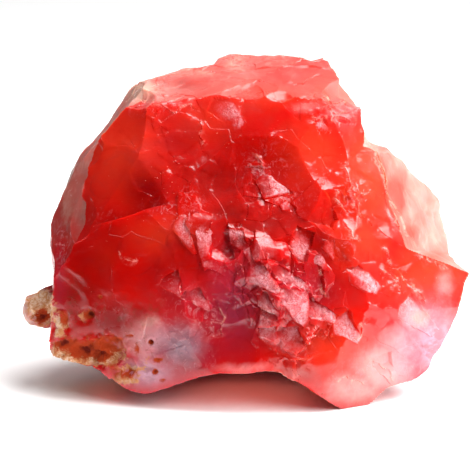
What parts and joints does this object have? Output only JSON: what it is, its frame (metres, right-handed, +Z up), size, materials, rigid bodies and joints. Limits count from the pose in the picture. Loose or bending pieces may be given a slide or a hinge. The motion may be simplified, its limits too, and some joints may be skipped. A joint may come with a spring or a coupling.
{
  "type": "agate nodule",
  "caption": "Broken chunk of red carnelian agate with a hackly, chipped front face and a pale natural rind on its back and sides, resting on blunt feet.",
  "frame": {"origin": "on the surface the stone rests on, under the middle of its box", "axes": "+X to the right along the longest side as seen from the broken front, +Y from the broken front to the rind behind, +Z up"},
  "size_m": [0.0634, 0.0408, 0.0458],
  "materials": {
    "agate": "translucent red chalcedony, waxy to glassy on the breaks, with a dull pale rind and an ochre crust"
  },
  "bodies": {
    "root": {"agate_nodule": "agate"}
  },
  "joints": []
}
